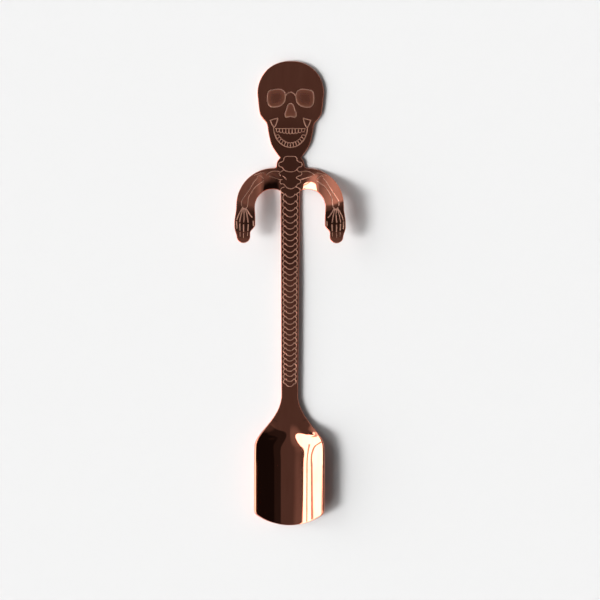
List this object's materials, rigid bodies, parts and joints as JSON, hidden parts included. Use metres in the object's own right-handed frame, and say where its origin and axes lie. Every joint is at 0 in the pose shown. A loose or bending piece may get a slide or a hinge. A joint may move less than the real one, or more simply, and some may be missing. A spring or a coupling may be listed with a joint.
{
  "type": "hanging bar spoon",
  "caption": "One-piece stamped steel stirring spoon with a flat skull finial, two forward-bent arms that hook over a mug rim, a slim shaft and an open scoop",
  "frame": {"origin": "on the resting plane, halfway along the spoon and on its middle line", "axes": "the spoon lies on its back: +Y runs to the crown of the skull, +X to the right-hand side as seen from the front, +Z out of its face"},
  "size_m": [0.0362, 0.153, 0.0085],
  "materials": {
    "copper_plate": "mirror-polished stainless steel with a copper-coloured vacuum coat and fine matte etched lines"
  },
  "bodies": {
    "root": {"skull_plate": "copper_plate", "neck_plate": "copper_plate", "shoulder_yoke": "copper_plate", "right_arm": "copper_plate", "left_arm": "copper_plate", "right_hand": "copper_plate", "left_hand": "copper_plate", "shaft": "copper_plate", "scoop_flare": "copper_plate", "scoop": "copper_plate"}
  },
  "joints": []
}
